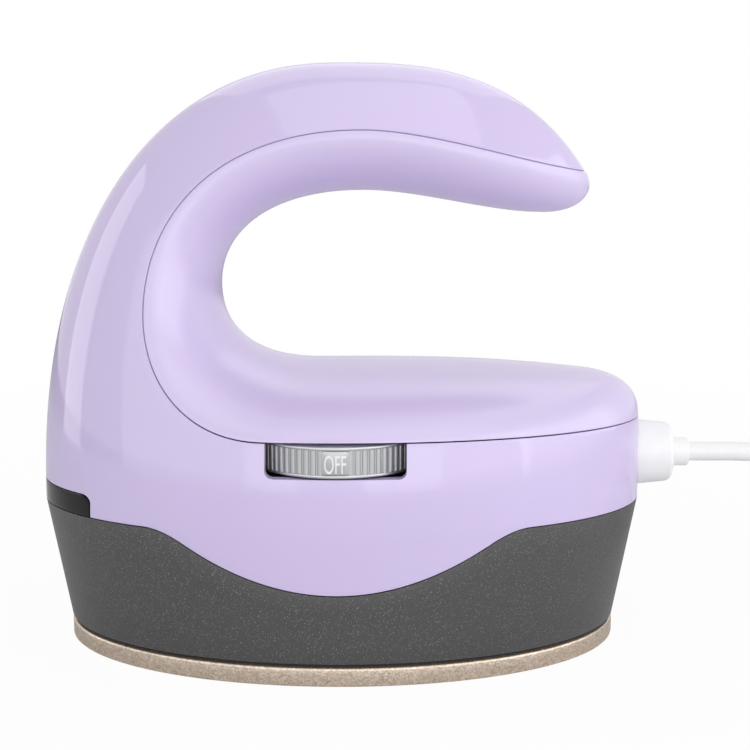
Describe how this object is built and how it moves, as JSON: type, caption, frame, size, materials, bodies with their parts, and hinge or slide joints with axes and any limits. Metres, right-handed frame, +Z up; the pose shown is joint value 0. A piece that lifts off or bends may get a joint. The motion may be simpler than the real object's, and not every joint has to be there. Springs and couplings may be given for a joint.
{
  "type": "mini handheld heat press",
  "caption": "Small handheld heat press with an egg-shaped lilac body, open hooked handle, oval heated plate, thumb dial, tail cord with coil and plug.",
  "frame": {"origin": "middle of the heat plate's working face", "axes": "+Z up, +X towards the tail with the cord, -Y the side with the dial"},
  "size_m": [0.2156, 0.0875, 0.1029],
  "materials": {
    "lilac_shell": "glossy",
    "lilac_inner": "glossy",
    "sparkle_skirt": "charcoal with fine metal flake",
    "champagne_plate": "grainy non-stick coat",
    "black_rubber": "matt",
    "smoked_window": "smoked, glossy",
    "circuit_board": "solder mask",
    "lamp_lens": "clear",
    "silver_dial": "satin silver paint",
    "dial_mark": "satin silver",
    "steel_parts": "plain",
    "black_nylon": "matt moulded",
    "switch_case": "matt moulded",
    "ceramic": "unglazed ceramic",
    "felt": "needled felt",
    "capacitor_sleeve": "shrunk sleeve",
    "terminal_green": "matt moulded",
    "white_cord": "satin PVC",
    "wire_blue": "satin PVC",
    "wire_red": "woven glass sleeve",
    "plug_brass": "plated"
  },
  "bodies": {
    "root": {"outer_shell": "lilac_shell", "inner_shell": "lilac_inner", "base_skirt": "sparkle_skirt", "heat_plate": "champagne_plate", "plate_seal": "black_rubber", "indicator_window": "smoked_window", "indicator_board": "circuit_board", "indicator_leds": "lamp_lens", "dial_housing": "black_nylon", "rotary_switch": "switch_case", "base_frame": "black_nylon", "heating_element": "steel_parts", "element_pins": "steel_parts", "terminal_beads": "ceramic", "thermal_fuse": "ceramic", "fuse_clip": "steel_parts", "thermistor": "steel_parts", "felt_pad": "felt", "heat_shield": "steel_parts", "plate_screws": "steel_parts", "deck_posts": "black_nylon", "deck_screws": "steel_parts", "housing_screws": "steel_parts", "control_board": "circuit_board", "board_screws": "steel_parts", "power_relay": "switch_case", "smoothing_capacitor": "capacitor_sleeve", "terminal_block": "terminal_green", "controller_chip": "black_nylon", "cord_bushing": "white_cord", "cord_saddle": "black_nylon", "cord_clamp": "black_nylon", "clamp_screws": "steel_parts", "cord_inner": "white_cord", "mains_wires": "wire_blue", "element_wires": "wire_red", "cord_lead": "white_cord", "cord_coil": "white_cord", "cord_tail": "white_cord", "plug_body": "white_cord", "plug_blades": "plug_brass"},
    "dial": {"dial_wheel": "silver_dial", "dial_label": "dial_mark", "dial_shaft": "steel_parts"}
  },
  "joints": [
    {"name": "dial_turn", "type": "hinge", "parent": "root", "child": "dial", "pos_m": [0, -0.01905, 0.0376], "axis": [0, 0, 1], "range_deg": [0, 180]}
  ]
}
